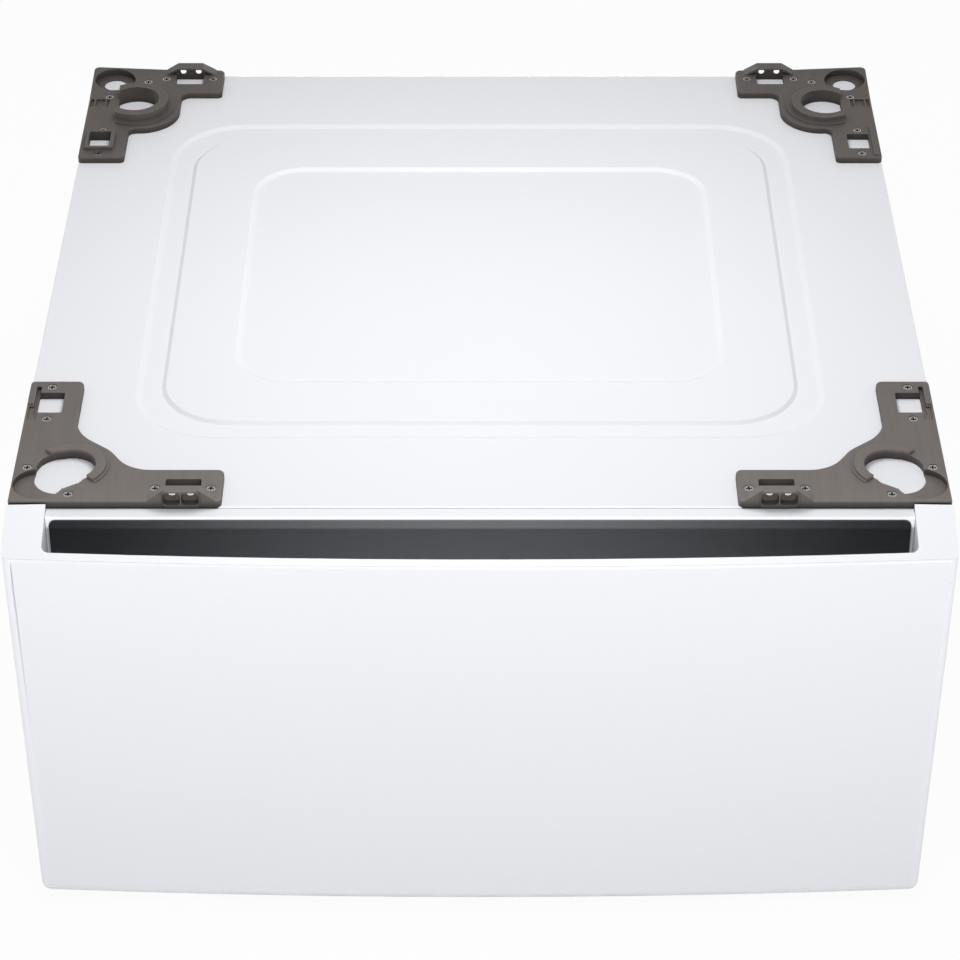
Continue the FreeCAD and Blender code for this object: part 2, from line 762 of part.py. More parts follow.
def upright(face, floor):
    """A bulged block from depth face backwards and from height floor upwards."""
    back = drawer_back_plane + overshoot
    top = top_height + overshoot
    return bulged([(face, floor, 0), (back, floor, 0), (back, top, 0), (face, top, 0)])


def front_plan(inset):
    """An upright block with the drawer front's plan: a bulged face, rounded side corners and a flat back."""
    foot = front_bottom + inset
    low = front_half(foot) - inset
    peak = top_height + overshoot
    high = front_half(peak) - inset
    round_low = front_low_corner - inset
    sides = [(-low, foot, round_low), (low, foot, round_low), (high, peak, 0), (-high, peak, 0)]
    between = profile_along(sides, (front_face - overshoot, drawer_back_plane))
    plan = upright(front_face + inset, 0.0).common(between)
    corners = [e for e in plan.Edges
               if e.BoundBox.ZLength > top_height / 2 and e.BoundBox.YMax < drawer_back_plane - 1]
    return plan.makeFillet(front_side_radius - inset, corners)


def both_cheeks(inner, outer, y, z):
    """Two upright blocks, one in each cheek, between two distances from the middle."""
    return [block(span, y, z) for span in ((-outer, -inner), (inner, outer))]


def drawer_front_panel():
    """The bowed white shell: front face, lip and cheeks, open at its back."""
    outside = bulged(front_section(0.0)).common([front_plan(0.0)], same_face)
    hollow = bulged(front_section(front_wall)).common([front_plan(front_wall)], same_face)
    wall_y = (front_face + lip_depth + front_bulge, drawer_back_plane - liner_plate - fit_gap)
    wall_z = (crease_height - cheek_wall_drop, top_height + overshoot)
    walls = both_cheeks(cheek_inside, cheek_inside + front_wall, wall_y, wall_z)
    shell = outside.cut(hollow.cut(Part.makeCompound(walls)))
    notch_x = (-cheek_inside, cheek_inside)
    notch_room = block(notch_x, (front_face, cabinet_front), (0, top_height + overshoot))
    notch = upright(front_face + lip_depth, wall_z[0] - 1).common(notch_room)
    ends = [e for e in notch.Edges
            if e.BoundBox.ZLength > cheek_wall_drop and e.BoundBox.YMax < drawer_back_plane - ledge_depth]
    notch = notch.makeFillet(pocket_corner, ends)
    return shell.cut(notch).cut(crease_line()).removeSplitter()


def crease_line():
    """The fine line along the crease, just behind the front face."""
    middle = front_face + crease_line_setback
    height = crease_height + crease_line_setback * slope_rise
    half = crease_line_width / 2
    lift = crease_line_depth / 2 + half * slope_rise
    return bulged([(middle - half, height + lift, 0), (middle, height - crease_line_depth, 0),
                   (middle + half, height + lift, 0)])


def pocket_trough():
    """The finger pocket's floor and walls, and the ledge along its back."""
    lip_back = front_face + lip_depth
    floor = top_height - pocket_depth
    ledge = top_height - ledge_drop
    side = cheek_inside - fit_gap
    room = block((-side, side), (front_face, drawer_back_plane), (0, ledge))
    trough = upright(lip_back - pocket_wall, floor - pocket_wall).common(room)
    inside = side - pocket_wall
    cavity = block((-inside, inside), (front_face, ledge_front), (0, top_height + overshoot))
    trough = trough.cut(upright(lip_back, floor).common(cavity))
    over_lip_z = (crease_height - front_wall - fit_gap, top_height)
    trough = trough.cut(block((-half_width, half_width), (front_face, ledge_front), over_lip_z))
    upper_z = (top_height - pocket_side_drop, top_height)
    for upper_wall in both_cheeks(inside, side, (front_face, ledge_front), upper_z):
        trough = trough.cut(upper_wall)
    behind_z = (floor, ledge - pocket_wall)
    behind = block((-inside, inside), (ledge_front + pocket_wall, drawer_back_plane - liner_plate), behind_z)
    trough = trough.cut(behind)
    rim = [e for e in trough.Edges
           if abs(e.CenterOfMass.y - ledge_front) < 0.01 and abs(e.CenterOfMass.z - ledge) < 0.01]
    trough = trough.makeFillet(ledge_edge_radius, rim)
    flange_y = (drawer_back_plane - liner_plate, drawer_back_plane + ledge_flange)
    return trough.fuse(block((-side, side), flange_y, (ledge - pocket_wall, ledge)))


def drawer_front_liner():
    """The moulded back of the drawer front: a plate with the finger pocket's trough."""
    low = front_bottom + front_wall + fit_gap
    side = front_half(low) - front_wall - fit_gap
    plate_y = (drawer_back_plane - liner_plate, drawer_back_plane)
    round_low = front_low_corner - front_wall
    high = crease_height - cheek_wall_drop / 2
    face = [(-side, low, round_low), (side, low, round_low), (side, high, 0), (-side, high, 0)]
    plate = profile_along(face, plate_y)
    ear_top = top_height + cheek_rise - 2 * front_wall - fit_gap
    ears = both_cheeks(cheek_inside + fit_gap, side, plate_y, (crease_height - cheek_wall_drop, ear_top))
    bores = [rod(pan_shank_radius + thread_gap, (x, drawer_back_plane + 1, z), (0, -1, 0), liner_plate + 2)
             for x, z in front_screw_places()]
    return joined([plate, pocket_trough()] + ears).cut(Part.makeCompound(bores))


def handle_trim():
    """The dark strip on the finger pocket's back wall."""
    half = cheek_inside - trim_side_margin
    top = top_height - trim_drop
    face = [(-half, top - trim_height, 1.0), (half, top - trim_height, 1.0), (half, top, trim_corner),
            (-half, top, trim_corner)]
    return profile_along(face, (ledge_front - trim_thickness, ledge_front))


# Drawer box

drawer_y = (drawer_back_plane, drawer_back_plane + drawer_box_depth)
drawer_z = (drawer_floor_height, top_height - drawer_top_room)


def front_screw_places():
    across_front = (-drawer_half + front_screw_inset, 0.0, drawer_half - front_screw_inset)
    return [(x, z) for x in across_front
            for z in (drawer_z[0] + front_screw_rise, drawer_z[1] - front_screw_inset)]


def drawer_front_wall():
    wall = block((-drawer_half, drawer_half), (drawer_y[0], drawer_y[0] + drawer_sheet), drawer_z)
    holes = [rod(pan_shank_radius + screw_gap, (x, drawer_y[0] - 1, z), (0, 1, 0), drawer_sheet + 2)
             for x, z in front_screw_places()]
    return wall.cut(Part.makeCompound(holes))


def drawer_front_screws():
    screws = []
    seat = drawer_y[0] + drawer_sheet
    for x, z in front_screw_places():
        head = rod(pan_head_radius, (x, seat, z), (0, 1, 0), pan_head_height)
        shank = rod(pan_shank_radius, (x, seat + 0.1, z), (0, -1, 0), drawer_sheet + liner_plate)
        screws.append(pan_cross(head.fuse(shank), (x, seat + pan_head_height, z)))
    return Part.makeCompound(screws)


def drawer_rear_wall():
    half = drawer_half - drawer_sheet
    wall_z = (drawer_z[0] + drawer_sheet, drawer_z[1])
    wall = block((-half, half), (drawer_y[1] - drawer_sheet, drawer_y[1]), wall_z)
    hem_z = (drawer_z[1] - drawer_sheet, drawer_z[1])
    hem = block((-half, half), (drawer_y[1] - drawer_hem, drawer_y[1]), hem_z)
    return joined([wall, hem])


def drawer_floor():
    half = drawer_half - drawer_sheet
    y = (drawer_y[0] + drawer_sheet, drawer_y[1])
    return block((-half, half), y, (drawer_z[0], drawer_z[0] + drawer_sheet))


def drawer_side_wall():
    """The left wall of the drawer box, with a folded hem along its top."""
    y = (drawer_y[0] + drawer_sheet, drawer_y[1])
    wall = block((-drawer_half, -drawer_half + drawer_sheet), y, drawer_z)
    hem_y = (y[0], y[1] - drawer_hem)
    hem = block((-drawer_half, -drawer_half + drawer_hem), hem_y, (drawer_z[1] - drawer_sheet, drawer_z[1]))
    holes = [rod(pan_shank_radius + screw_gap, (-drawer_half - 1, py, slide_height), (1, 0, 0), 4)
             for py in slide_screw_places()]
    return joined([wall, hem]).cut(Part.makeCompound(holes))


# Ball-bearing slides, drawn for the left side: across runs from the support towards the drawer

slide_y = (cabinet_front + slide_setback, cabinet_front + slide_setback + slide_length)


def across(a, b):
    return (-slide_back + a, -slide_back + b)


def slide_screw_places():
    middle = (slide_y[0] + slide_y[1]) / 2
    return [slide_y[0] + slide_screw_inset, middle + slide_screw_shift, slide_y[1] - slide_screw_inset]


def channel(web, lip, half):
    """A C channel along the slide: web and lip are spans across it, half is half its height."""
    sheet = slide_sheet
    parts = [block(across(*web), slide_y, (slide_height - half, slide_height + half))]
    for side in (-1, 1):
        edge = sorted((slide_height + side * half, slide_height + side * (half - sheet)))
        parts.append(block(across(*lip), slide_y, edge))
    return joined(parts)


def slide_screw_holes(start):
    x = -slide_back + start
    return Part.makeCompound([rod(pan_shank_radius, (x, y, slide_height), (1, 0, 0), slide_sheet + 2)
                              for y in slide_screw_places()])


def slide_cabinet_member():
    member = channel((0, slide_sheet), (0, slide_thickness - 0.7), outer_member_half)
    return member.cut(slide_screw_holes(-1))


def slide_middle_member():
    web = (middle_web_offset, middle_web_offset + slide_sheet)
    return channel(web, (middle_web_offset, slide_thickness - 1.2), middle_member_half)


def slide_drawer_member():
    web = (slide_thickness - slide_sheet, slide_thickness)
    member = channel(web, (middle_web_offset + slide_sheet + 1.0, slide_thickness), inner_member_half)
    member = member.cut(slide_screw_holes(web[0] - 1))
    pin_end = (-slide_back + slide_thickness - slide_sheet, lever_pivot()[0], slide_height)
    pin = rod(lever_pin_radius, pin_end, (-1, 0, 0), lever_thickness + 1.5)
    return member.fuse(pin).removeSplitter()


def lever_pivot():
    return (slide_y[1] - lever_setback, slide_height)


def release_lever():
    """The lever that frees the drawer from its slide; it tilts on a pin in the drawer member."""
    y, z = lever_pivot()
    inner_face = slide_thickness - slide_sheet - lever_gap
    x = across(inner_face - lever_thickness, inner_face)
    front_end = y - lever_length * lever_front_share
    back_end = front_end + lever_length
    low, high = z - lever_height / 2, z + lever_height / 2
    outline = [(front_end, low, 2), (back_end, low, 3), (back_end, high, 3), (front_end, high, 2)]
    arm = profile_across(outline, x)
    return arm.cut(rod(lever_pin_radius + thread_gap, (x[0] - 1, y, z), (1, 0, 0), lever_thickness + 2))


def ball_cage(inner_half, outer_half, span, start):
    """Two strips of balls between two members, above and below, each in its own retainer."""
    middle = (inner_half + outer_half) / 2
    radius = (outer_half - inner_half) / 2 - ball_gap
    centre_x = -slide_back + (span[0] + span[1]) / 2
    y0 = slide_y[0] + start
    step = cage_length / balls_in_row
    places = [y0 + (k + 0.5) * step for k in range(balls_in_row)]
    pieces = []
    for side in (-1, 1):
        z = slide_height + side * middle
        strip = block(across(*span), (y0, y0 + cage_length), (z - cage_sheet / 2, z + cage_sheet / 2))
        pieces.append(strip.cut(Part.makeCompound(
            [post(radius + 0.1, centre_x, y, (z - cage_sheet, z + cage_sheet)) for y in places])))
        pieces.extend(Part.makeSphere(radius, Vector(centre_x, y, z)) for y in places)
    return Part.makeCompound(pieces)


def outer_ball_cage():
    span = (middle_web_offset, slide_thickness - 1.5)
    return ball_cage(middle_member_half, outer_member_half - slide_sheet, span, outer_cage_start)


def inner_ball_cage():
    span = (middle_web_offset + slide_sheet + 1.0, slide_thickness - 1.5)
    return ball_cage(inner_member_half, middle_member_half - slide_sheet, span, inner_cage_start)


def slide_screws(seat, along):
    """Low-headed screws along both slides; seat is the head's inner face, along the way the shank points."""
    screws = []
    for y in slide_screw_places():
        x = -slide_back + seat
        head = rod(pan_head_radius, (x, y, slide_height), (-along, 0, 0), pan_head_height)
        shank_length = slide_sheet + frame_sheet + 2
        shank = rod(pan_shank_radius, (x - along * 0.1, y, slide_height), (along, 0, 0), shank_length)
        screw = head.fuse(shank).removeSplitter()
        screws.extend([screw, other_side(screw)])
    return Part.makeCompound(screws)


def drawer_bumpers():
    """Four rubber discs on the cabinet's front flanges, which the closed drawer rests against."""
    thick = front_gap - bumper_squeeze
    x = half_width - side_flange / 2
    return Part.makeCompound([rod(bumper_radius, (side * x, cabinet_front, z), (0, -1, 0), thick)
                              for side in (-1, 1) for z in (drawer_z[0] + bumper_rise, drawer_z[1])])


def build():
    """Every sub-part by its name."""
    parts = {
        "top_panel": top_panel(),
        "left_side_panel": side_panel(),
        "rear_panel": rear_panel(),
        "rear_panel_screws": rear_panel_screws(),
        "left_base_rail": base_rail(),
        "front_base_rail": cross_rail(front_rail_y),
        "rear_base_rail": cross_rail(rear_rail_y),
        "front_top_rail": top_rail(front_top_rail_y),
        "rear_top_rail": top_rail(rear_top_rail_y),
        "left_top_stiffener": top_stiffener(),
        "left_front_post": corner_post(True),
        "left_rear_post": corner_post(False),
        "left_slide_support": slide_support(),
        "left_slide_cabinet_member": slide_cabinet_member(),
        "left_slide_middle_member": slide_middle_member(),
        "left_slide_drawer_member": slide_drawer_member(),
        "left_outer_ball_cage": outer_ball_cage(),
        "left_inner_ball_cage": inner_ball_cage(),
        "left_release_lever": release_lever(),
        "left_drawer_wall": drawer_side_wall(),
        "foot_weld_nuts": foot_nuts((base_plate_top, base_plate_top + weld_nut_height), nut_hex),
        "foot_lock_nuts": foot_nuts((cabinet_bottom - lock_nut_height, cabinet_bottom), nut_hex),
        "front_left_bracket": at_front_left(front_bracket()),
        "rear_left_bracket": at_rear_left(rear_bracket(rear_left_collar_height, True)),
        "rear_right_bracket": other_side(at_rear_left(rear_bracket(rear_right_collar_height, False))),
        "bracket_screws": bracket_screws(),
        "drawer_front_panel": drawer_front_panel(),
        "drawer_front_liner": drawer_front_liner(),
        "handle_trim": handle_trim(),
        "drawer_front_wall": drawer_front_wall(),
        "drawer_front_screws": drawer_front_screws(),
        "drawer_rear_wall": drawer_rear_wall(),
        "drawer_floor": drawer_floor(),
        "drawer_bumpers": drawer_bumpers(),
        "slide_support_screws": slide_screws(slide_sheet, -1),
        "drawer_slide_screws": slide_screws(slide_thickness - slide_sheet, 1),
    }
    for name, (x, y) in foot_places.items():
        parts[name + "_foot_pad"] = foot_pad(x, y)
        parts[name + "_foot_stud"] = foot_stud(x, y)
    parts["front_right_bracket"] = other_side(parts["front_left_bracket"])
    for name in [n for n in parts if n.startswith("left_")]:
        parts[name.replace("left_", "right_", 1)] = other_side(parts[name])
    return parts


os.makedirs("parts", exist_ok=True)
for node, shape in build().items():
    shape.exportStep(os.path.join("parts", node + ".step"))
    state = "valid" if shape.isValid() else "BAD"
    print(node, len(shape.Solids), "solids", round(shape.Volume / 1000, 1), "cm3", state)
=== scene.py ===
import bpy
import bmesh
import json
import math
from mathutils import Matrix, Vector


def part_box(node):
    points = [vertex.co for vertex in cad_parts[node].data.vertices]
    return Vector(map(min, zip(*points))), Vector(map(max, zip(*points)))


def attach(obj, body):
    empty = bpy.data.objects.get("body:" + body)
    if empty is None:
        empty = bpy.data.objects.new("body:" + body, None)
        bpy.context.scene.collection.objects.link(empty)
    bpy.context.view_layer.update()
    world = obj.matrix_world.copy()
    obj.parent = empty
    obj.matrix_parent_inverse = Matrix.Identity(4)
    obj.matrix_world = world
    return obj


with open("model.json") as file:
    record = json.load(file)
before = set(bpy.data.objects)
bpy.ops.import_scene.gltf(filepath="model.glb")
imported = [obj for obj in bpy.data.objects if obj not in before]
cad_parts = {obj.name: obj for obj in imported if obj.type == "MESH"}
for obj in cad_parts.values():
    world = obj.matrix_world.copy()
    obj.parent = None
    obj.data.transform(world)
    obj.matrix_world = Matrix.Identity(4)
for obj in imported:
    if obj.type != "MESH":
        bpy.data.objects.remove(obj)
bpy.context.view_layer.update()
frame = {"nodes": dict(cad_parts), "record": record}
nodes = frame["nodes"]
print("frame loaded:", len(nodes), "nodes")


# Shader maths: a Wire is one output socket, and expressions on Wires add Math nodes.
class Wire:
    def __init__(self, finish, socket):
        self.finish = finish
        self.socket = socket

    def apply(self, operation, *others):
        return self.finish.add("ShaderNodeMath", {"operation": operation}, dict(enumerate((self,) + others)))

    def applyTo(self, operation, first):   # the same, with this Wire as the second value
        return self.finish.add("ShaderNodeMath", {"operation": operation}, {0: first, 1: self})

    def __add__(self, other):
        return self.apply("ADD", other)

    def __radd__(self, other):
        return self.applyTo("ADD", other)

    def __sub__(self, other):
        return self.apply("SUBTRACT", other)

    def __rsub__(self, other):
        return self.applyTo("SUBTRACT", other)

    def __mul__(self, other):
        return self.apply("MULTIPLY", other)

    def __rmul__(self, other):
        return self.applyTo("MULTIPLY", other)

    def __truediv__(self, other):
        return self.apply("DIVIDE", other)

    def __rtruediv__(self, other):
        return self.applyTo("DIVIDE", other)

    def __pow__(self, other):
        return self.apply("POWER", other)

    def __rpow__(self, other):
        return self.applyTo("POWER", other)

    def clamped(self):
        return self.finish.add("ShaderNodeClamp", {}, {"Value": self})


# Rays that the softened arrises and the recesses are sampled with.
sampling = {"arris": 6, "recess": 8}


# One material, or the world: add() makes any node, surface() closes a material.
class Finish:
    def __init__(self, name, tree=None):
        if tree is None:
            self.material = bpy.data.materials.new(name)
            self.material.use_nodes = True
            tree = self.material.node_tree
        self.tree = tree
        self.tree.nodes.clear()

    def add(self, kind, settings, sockets, output=0):
        node = self.tree.nodes.new(kind)
        for key, value in settings.items():
            setattr(node, key, value)
        for key, value in sockets.items():
            if isinstance(value, Wire):
                self.tree.links.new(value.socket, node.inputs[key])
            else:
                node.inputs[key].default_value = value
        return Wire(self, node.outputs[output]) if len(node.outputs) else None

    def vector(self, operation, first, second=(0.0, 0.0, 0.0), output="Vector"):
        return self.add("ShaderNodeVectorMath", {"operation": operation}, {0: first, 1: second}, output)

    def place(self, stretch=None):   # a point on the piece, in metres
        spot = self.add("ShaderNodeTexCoord", {}, {}, "Object")
        return self.vector("MULTIPLY", spot, stretch) if stretch else spot

    def facing(self):
        return self.add("ShaderNodeTexCoord", {}, {}, "Normal")

    def axis(self, spot, name):
        return self.add("ShaderNodeSeparateXYZ", {}, {"Vector": spot}, name)

    def noise(self, spot, scale, detail=3.0, roughness=0.5):
        return self.add("ShaderNodeTexNoise", {}, {"Vector": spot, "Scale": scale, "Detail": detail,
                                                   "Roughness": roughness})

    def blend(self, share, first, second):
        return self.add("ShaderNodeMix", {"data_type": "RGBA"}, {0: share, 6: first, 7: second}, 2)

    def spread(self, share, look):   # a look's colour, from its deep to its pale share
        return self.blend(share, tint(look["colour"], look["deep"]), tint(look["colour"], look["pale"]))

    def bump(self, height, look, under=None):   # under is the normal that the relief lies on
        sockets = {"Height": height, "Strength": look["relief"], "Distance": look["height"]}
        if under:
            sockets["Normal"] = under
        return self.add("ShaderNodeBump", {}, sockets)

    def rounded(self, edge):   # softens the sharp arrises over so many metres
        return self.add("ShaderNodeBevel", {"samples": sampling["arris"]}, {"Radius": edge})

    def steeper(self, share):   # makes shallow slopes on a level face read as steeper ones
        return self.vector("NORMALIZE", self.vector("MULTIPLY", self.facing(), (share, share, 1.0)))

    def openness(self, reach):   # 1 on an open face, less down in corners and recesses
        rays = {"samples": sampling["recess"]}
        return self.add("ShaderNodeAmbientOcclusion", rays, {"Distance": reach}, "AO")

    def surface(self, sockets):
        shader = self.add("ShaderNodeBsdfPrincipled", {}, sockets)
        self.add("ShaderNodeOutputMaterial", {}, {"Surface": shader})
        return self.material


def tint(colour, share):
    return tuple(min(1.0, c * share) for c in colour) + (1.0,)


def vary(middle, span, mark):   # a value that a mark from 0 to 1 moves up and down
    return middle + span * (mark - 0.5)


def weighed(shares, marks):
    total = marks[0] * shares[0]
    for mark, share in zip(marks[1:], shares[1:]):
        total = total + mark * share
    return total


# White enamel on sheet steel: a faint orange peel and a very faint cloudiness.
enamel = {"colour": (0.862, 0.87, 0.906), "deep": 0.985, "pale": 1.012, "cloud": 5.0,
          "rough": 0.38, "cloudRough": 0.05, "peelRough": 0.03, "shine": 0.2,
          "peel": 420.0, "relief": 0.05, "height": 0.0002, "press": 1.3}


def whiteEnamel():
    f = Finish("whiteEnamel")
    spot = f.place()
    cloud = f.noise(spot, enamel["cloud"])
    peel = f.noise(spot, enamel["peel"], detail=2.0)
    rough = vary(enamel["rough"], enamel["cloudRough"], cloud)
    return f.surface({"Base Color": f.spread(cloud, enamel),
                      "Roughness": vary(rough, enamel["peelRough"], peel),
                      "Normal": f.bump(peel, enamel, f.steeper(enamel["press"])),
                      "Specular IOR Level": enamel["shine"]})


# White moulded plastic of the drawer front: a fine grain, and painted shade that greys it towards the floor.
moulding = {"colour": (0.86, 0.868, 0.904), "deep": 1.002, "pale": 1.024, "cloud": 4.0,
            "low": 0.85, "top": 0.33,   # the share of the colour at the floor, and where it is whole
            "rough": 0.4, "cloudRough": 0.05, "shine": 0.15,
            "grain": 900.0, "relief": 0.03, "height": 0.0001}


def whiteMoulding():
    f = Finish("whiteMoulding")
    spot = f.place()
    cloud = f.noise(spot, moulding["cloud"])
    grain = f.noise(spot, moulding["grain"], detail=2.0)
    # Painted shade: greyer towards the floor, whole from the top height up.
    up = (f.axis(spot, "Z") / moulding["top"]).clamped()
    colour = f.blend(up, tint(moulding["colour"], moulding["low"]), f.spread(cloud, moulding))
    return f.surface({"Base Color": colour,
                      "Roughness": vary(moulding["rough"], moulding["cloudRough"], cloud),
                      "Normal": f.bump(grain, moulding),
                      "Specular IOR Level": moulding["shine"]})


# Taupe bracket plastic: a fine grain and drawn-out streaks. Painted light and shade make it darker towards
# the back, in its recesses and down its walls, and painted highlights make it pale on its arrises.
taupe = {"front": (0.188, 0.168, 0.157), "rear": (0.106, 0.093, 0.085),
         "frontEdge": -0.3008, "fade": 0.6, "fadePower": 0.5,   # from the front colour to the rear one
         "deep": 0.75, "pale": 1.25, "markShares": (0.5, 0.3, 0.2),   # streak, grain, cloud
         "streak": 260.0, "draw": (1.0, 0.06, 0.06), "grain": 1400.0, "cloud": 30.0, "crisp": 0.6,
         "edge": 0.0008, "highlightGain": 4.0, "paintedHighlight": 1.5,   # arrises
         "recess": 0.42, "reach": 0.02, "shadow": 1.3,
         "face": 0.3525, "depth": 0.0075, "foot": 0.12,   # walls, from the face down
         "wall": 0.15, "wallFall": 0.4, "foreWall": 0.2, "foreFall": 0.25,
         "rough": 0.55, "grainRough": 0.16, "shine": 0.2,
         "reliefShares": (0.7, 0.3), "relief": 0.25, "height": 0.0003}


def taupePlastic():
    f = Finish("taupePlastic")
    spot = f.place()
    grain = f.noise(spot, taupe["grain"], roughness=taupe["crisp"])
    streak = f.noise(f.place(taupe["draw"]), taupe["streak"], roughness=taupe["crisp"])
    cloud = f.noise(spot, taupe["cloud"])
    mark = weighed(taupe["markShares"], (streak, grain, cloud)).clamped()
    # Painted light and shade: paler on the front brackets, darker towards the rear ones.
    back = ((f.axis(spot, "Y") - taupe["frontEdge"]) / taupe["fade"]).clamped() ** taupe["fadePower"]

    def rearShaded(share):
        return f.blend(back, tint(taupe["front"], share), tint(taupe["rear"], share))

    # Painted highlights on the arrises, which are where the rounded normal leaves the face's own.
    facing = f.facing()
    rounded = f.rounded(taupe["edge"])
    arris = (1.0 - f.vector("DOT_PRODUCT", rounded, facing, "Value")) * taupe["highlightGain"]
    plain = f.blend(mark, rearShaded(taupe["deep"]), rearShaded(taupe["pale"]))
    paintedHighlight = f.blend(arris.clamped(), plain, tint(taupe["front"], taupe["paintedHighlight"]))
    # Painted shade in corners and recesses.
    shaded = f.blend(f.openness(taupe["reach"]) ** taupe["shadow"], rearShaded(taupe["recess"]), paintedHighlight)

    # Painted shade: walls darken downwards, most of all on the front edge.
    level = f.axis(facing, "Z")
    down = ((taupe["face"] - f.axis(spot, "Z")) / taupe["depth"]).clamped()
    fore = f.axis(spot, "Y").apply("LESS_THAN", taupe["frontEdge"])
    dark = taupe["wall"] + taupe["wallFall"] * down + fore * (taupe["foreWall"] + taupe["foreFall"] * down)
    wall = ((1.0 - level * level) * dark).clamped()
    return f.surface({"Base Color": f.blend(wall, shaded, tint(taupe["rear"], taupe["foot"])),
                      "Roughness": vary(taupe["rough"], taupe["grainRough"], grain),
                      "Normal": f.bump(weighed(taupe["reliefShares"], (grain, streak)), taupe, rounded),
                      "Specular IOR Level": taupe["shine"]})


# Dark strip behind the lip: smooth and glossy, with a painted reflection making its middle paler grey than
# its ends.
strip = {"ends": (0.0105, 0.011, 0.0125), "middle": (0.134, 0.138, 0.145), "half": 0.315, "fall": 1.8,
         "cloud": 8.0, "cloudShare": 0.06, "rough": 0.3, "cloudRough": 0.06,
         "grain": 1600.0, "relief": 0.03, "height": 0.0001}


def darkStrip():
    f = Finish("darkStrip")
    spot = f.place()
    cloud = f.noise(spot, strip["cloud"], detail=2.0)
    grain = f.noise(spot, strip["grain"], detail=2.0)
    # Painted reflection: paler in the middle, darker towards the ends.
    out = f.axis(spot, "X") / strip["half"]
    middle = (1.0 - out * out).clamped() ** strip["fall"]
    share = vary(middle, strip["cloudShare"], cloud).clamped()
    return f.surface({"Base Color": f.blend(share, tint(strip["ends"], 1.0), tint(strip["middle"], 1.0)),
                      "Roughness": vary(strip["rough"], strip["cloudRough"], cloud),
                      "Normal": f.bump(grain, strip)})


# Galvanised sheet: flat spangles of slightly different grey.
zincSheet = {"colour": (0.56, 0.57, 0.58), "deep": 0.82, "pale": 1.12, "markShares": (0.7, 0.3),
             "spangle": 70.0, "scratch": 500.0, "draw": (0.1, 1.0, 1.0),
             "metal": 0.85, "rough": 0.42, "flakeRough": 0.2, "relief": 0.05, "height": 0.0002}


def galvanised():
    f = Finish("galvanised")
    spots = {"Vector": f.place(), "Scale": zincSheet["spangle"]}
    spangle = f.add("ShaderNodeTexVoronoi", {"feature": "F1"}, spots, "Color")
    flake = f.add("ShaderNodeSeparateColor", {}, {"Color": spangle})
    scratch = f.noise(f.place(zincSheet["draw"]), zincSheet["scratch"])
    return f.surface({"Base Color": f.spread(weighed(zincSheet["markShares"], (flake, scratch)), zincSheet),
                      "Metallic": zincSheet["metal"],
                      "Roughness": vary(zincSheet["rough"], zincSheet["flakeRough"], flake),
                      "Normal": f.bump(scratch, zincSheet)})


# Plated slide steel: drawn along the slide.
plating = {"colour": (0.66, 0.67, 0.69), "deep": 0.85, "pale": 1.1, "markShares": (0.5, 0.5),
           "streak": 900.0, "draw": (1.0, 0.03, 1.0), "cloud": 20.0,
           "metal": 0.95, "rough": 0.27, "streakRough": 0.15, "relief": 0.06, "height": 0.0002}


def slideSteel():
    f = Finish("slideSteel")
    streak = f.noise(f.place(plating["draw"]), plating["streak"])
    cloud = f.noise(f.place(), plating["cloud"])
    return f.surface({"Base Color": f.spread(weighed(plating["markShares"], (streak, cloud)), plating),
                      "Metallic": plating["metal"],
                      "Roughness": vary(plating["rough"], plating["streakRough"], streak),
                      "Normal": f.bump(streak, plating)})


# Bright screws and nuts: turned marks and a little staining, with painted shade down in their slots.
bright = {"colour": (0.56, 0.55, 0.53), "deep": 0.78, "pale": 1.12, "stain": 160.0,
          "slot": 0.05, "reach": 0.0025, "shadow": 3.0,
          "metal": 0.95, "rough": 0.24, "stainRough": 0.2, "edge": 0.0004,
          "turn": 2200.0, "draw": (1.0, 1.0, 0.2), "relief": 0.05, "height": 0.0001}


def brightZinc():
    f = Finish("brightZinc")
    stain = f.noise(f.place(), bright["stain"])
    turn = f.noise(f.place(bright["draw"]), bright["turn"], detail=2.0)
    # Painted shade down in the slots.
    clear = f.openness(bright["reach"]) ** bright["shadow"]
    colour = f.blend(clear, tint(bright["colour"], bright["slot"]), f.spread(stain, bright))
    return f.surface({"Base Color": colour, "Metallic": bright["metal"],
                      "Roughness": vary(bright["rough"], bright["stainRough"], stain),
                      "Normal": f.bump(turn, bright, f.rounded(bright["edge"]))})


# The feet's studs: the same zinc, with a rolled thread above the hexagon.
thread = {"colour": bright["colour"], "deep": 0.7, "pale": 1.08,
          "pitch": 0.00175, "start": 0.0137, "relief": 0.6, "height": 0.0006}


def threadedZinc():
    f = Finish("threadedZinc")
    stain = f.noise(f.place(), bright["stain"])
    height = f.axis(f.place(), "Z")
    wave = (height * (2 * math.pi / thread["pitch"])).apply("SINE")
    ridge = 0.5 + 0.5 * (wave * height.apply("GREATER_THAN", thread["start"]))
    return f.surface({"Base Color": f.spread(stain, thread), "Metallic": bright["metal"],
                      "Roughness": vary(bright["rough"], bright["stainRough"], stain),
                      "Normal": f.bump(ridge, thread, f.rounded(bright["edge"]))})


# Polished bearing balls and their strips.
polish = {"colour": (0.72, 0.73, 0.75), "deep": 0.85, "pale": 1.08, "metal": 1.0,
          "rough": 0.16, "smearRough": 0.15, "smear": 120.0, "relief": 0.02, "height": 0.0002}


def ballSteel():
    f = Finish("ballSteel")
    smear = f.noise(f.place(), polish["smear"])
    return f.surface({"Base Color": f.spread(smear, polish), "Metallic": polish["metal"],
                      "Roughness": vary(polish["rough"], polish["smearRough"], smear),
                      "Normal": f.bump(smear, polish)})


# Black rubber and black nylon share a recipe: a dusty bloom over a fine grain.
blacks = {"footRubber": {"colour": (0.03, 0.03, 0.031), "rough": 0.72, "grain": 700.0, "relief": 0.35},
          "blackNylon": {"colour": (0.024, 0.024, 0.025), "rough": 0.45, "grain": 1300.0, "relief": 0.15}}
dust = {"deep": 0.7, "pale": 1.5, "bloom": 40.0, "bloomRough": 0.15, "crisp": 0.6, "height": 0.0003}


